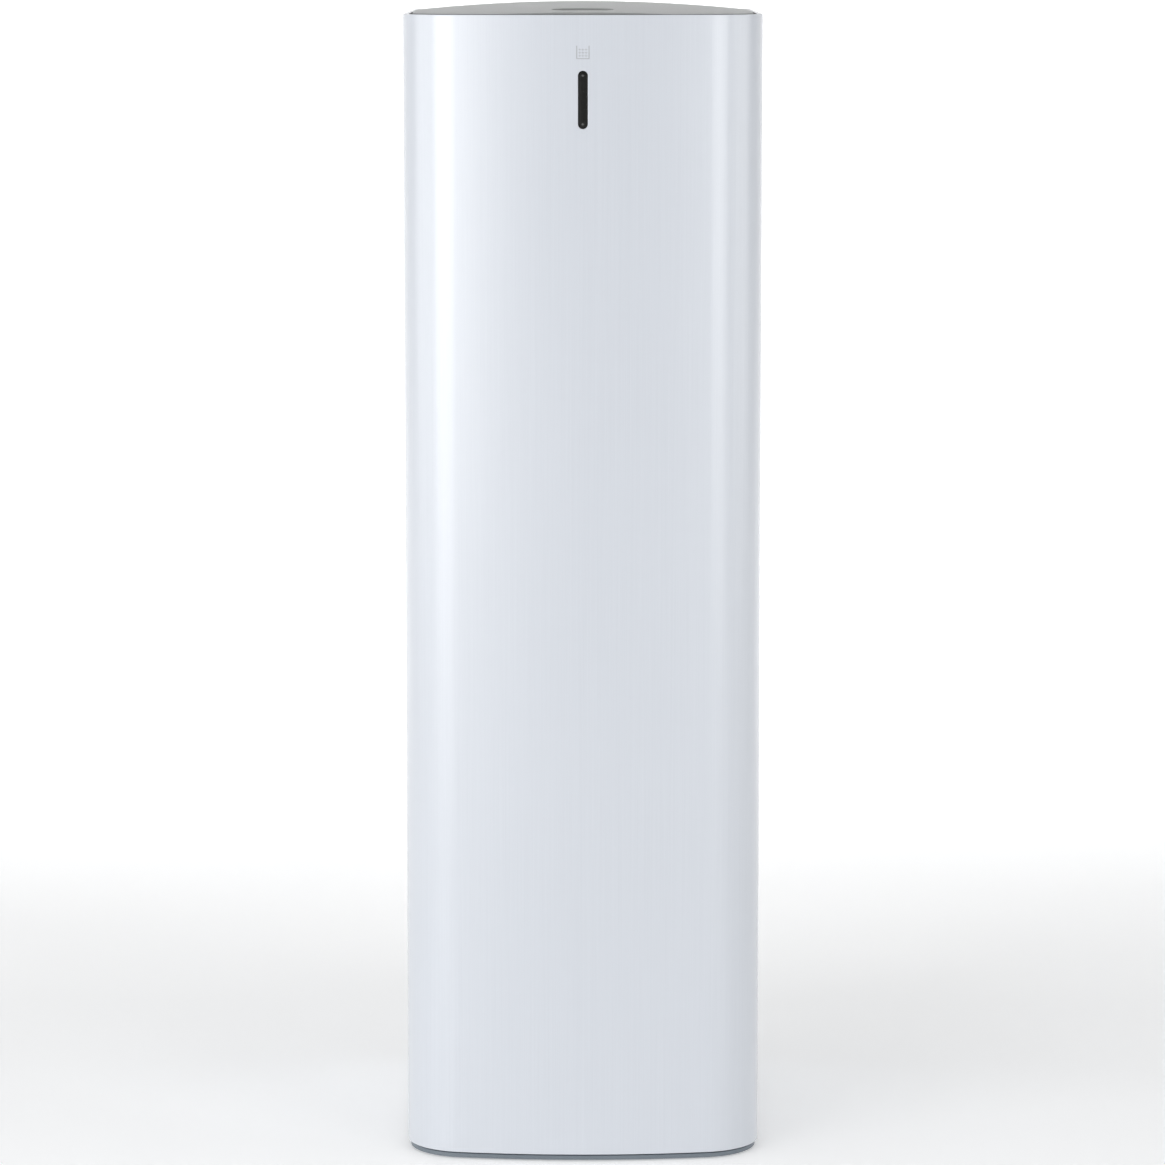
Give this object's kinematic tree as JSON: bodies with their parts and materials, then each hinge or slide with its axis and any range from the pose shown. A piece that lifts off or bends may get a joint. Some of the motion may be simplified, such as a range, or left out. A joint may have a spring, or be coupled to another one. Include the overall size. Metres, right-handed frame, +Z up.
{
  "type": "vacuum dustbin emptying station",
  "caption": "Slim upright tower that a cordless vacuum's dustbin drops into under a hinged lid; a fan empties it into a bag behind the lift-off front.",
  "frame": {"origin": "on the floor under the middle of the body", "axes": "+Z up, the front with the status light faces -Y, +X is to the right seen from the back"},
  "size_m": [0.184, 0.252, 0.5974],
  "materials": {
    "shell_white": "semi-gloss pearl white",
    "lid_grey": "satin warm grey",
    "base_grey": "satin blue grey",
    "inner_grey": "fine matt moulding",
    "dark_plastic": "fine matt moulding",
    "lens_black": "smoked, polished",
    "rubber_black": "matt",
    "steel": "bright zinc plated",
    "lamination": "stacked sheet",
    "ferrite": "fine ground",
    "copper_wire": "enamelled winding wire",
    "can_metal": "drawn, satin",
    "board_green": "solder mask",
    "component_black": "moulded packages",
    "signal_red": "satin",
    "card_blue": "fine matt moulding",
    "bag_fabric": "non-woven filter cloth",
    "foam_blue": "open-cell foam",
    "media_white": "pleated filter paper",
    "filter_frame_white": "satin"
  },
  "bodies": {
    "housing": {"rear_body": "shell_white", "base": "base_grey", "rubber_feet": "rubber_black", "front_frame": "inner_grey", "top_deck": "inner_grey", "rear_strip": "lid_grey", "hinge_pins": "steel", "hinge_springs": "steel", "light_board": "board_green", "strike_plates": "steel", "docking_well": "dark_plastic", "dock_seal": "rubber_black", "dock_switch": "component_black", "hopper": "dark_plastic", "inlet_duct": "dark_plastic", "flap_pin": "steel", "flap_springs": "steel", "nozzle_seal": "rubber_black", "bag_chamber": "inner_grey", "chamber_seal": "rubber_black", "bag_rails": "dark_plastic", "filter_grid": "dark_plastic", "foam_filter": "foam_blue", "fan_gasket": "rubber_black", "fan_shroud": "dark_plastic", "stator": "lamination", "windings": "copper_wire", "bearings": "steel", "motor_can": "can_metal", "diffuser": "inner_grey", "motor_housing": "dark_plastic", "motor_isolators": "rubber_black", "filter_housing": "inner_grey", "main_board": "board_green", "board_parts": "component_black", "cord_gland": "dark_plastic", "screws": "steel"},
    "front_panel": {"front_cover": "shell_white", "light_guide": "lens_black", "cover_liner": "inner_grey", "cover_magnets": "steel"},
    "lid_body": {"lid": "lid_grey", "lid_liner": "inner_grey", "lid_seal": "rubber_black", "button_springs": "steel", "latch_spring": "steel"},
    "button": {"lid_button": "lid_grey"},
    "latch": {"lid_latch": "dark_plastic"},
    "plunger": {"switch_plunger": "signal_red"},
    "flap": {"inlet_flap": "dark_plastic"},
    "bag": {"bag_collar": "card_blue", "bag_membrane": "rubber_black", "dust_bag": "bag_fabric"},
    "rotor": {"impeller": "dark_plastic", "motor_shaft": "steel", "rotor_magnet": "ferrite"},
    "exhaust_panel": {"exhaust_cover": "shell_white", "filter_latch": "base_grey", "hepa_frame": "filter_frame_white", "hepa_pleats": "media_white"}
  },
  "joints": [
    {"name": "lid_hinge", "type": "hinge", "parent": "housing", "child": "lid_body", "pos_m": [0, 0.084, 0.587], "axis": [-1, 0, 0], "range_deg": [0, 88]},
    {"name": "lid_button_press", "type": "slide", "parent": "lid_body", "child": "button", "axis": [0, 0, -1], "range_m": [0, 0.0018], "stiffness_N_per_m": 900, "springref_m": -0.0012, "deforming": ["button_springs"]},
    {"name": "lid_latch_slide", "type": "slide", "parent": "lid_body", "child": "latch", "axis": [0, 1, 0], "range_m": [0, 0.0018], "stiffness_N_per_m": 300, "springref_m": -0.001, "deforming": ["latch_spring"]},
    {"name": "front_cover_slide", "type": "slide", "parent": "housing", "child": "front_panel", "axis": [0, -1, 0], "range_m": [0, 0.3]},
    {"name": "bag_slide", "type": "slide", "parent": "housing", "child": "bag", "axis": [0, -1, 0], "range_m": [0, 0.15]},
    {"name": "impeller_spin", "type": "hinge", "parent": "housing", "child": "rotor", "pos_m": [0, -0.02, 0.12], "axis": [0, 0, 1], "continuous": true},
    {"name": "inlet_flap_hinge", "type": "hinge", "parent": "housing", "child": "flap", "pos_m": [0, 0.0046, 0.3996], "axis": [1, 0, 0], "range_deg": [0, 75], "stiffness_Nm_per_rad": 0.02, "springref_deg": -28.65},
    {"name": "dock_switch_press", "type": "slide", "parent": "housing", "child": "plunger", "axis": [0, 0, -1], "range_m": [0, 0.002], "stiffness_N_per_m": 400, "springref_m": -0.001},
    {"name": "exhaust_filter_slide", "type": "slide", "parent": "housing", "child": "exhaust_panel", "axis": [0, 1, 0], "range_m": [0, 0.05]}
  ],
  "couplings": [
    {"joint": "lid_latch_slide", "follows": "lid_button_press", "ratio": 1},
    {"joint": "bag_slide", "follows": "front_cover_slide", "ratio": 0.5}
  ]
}
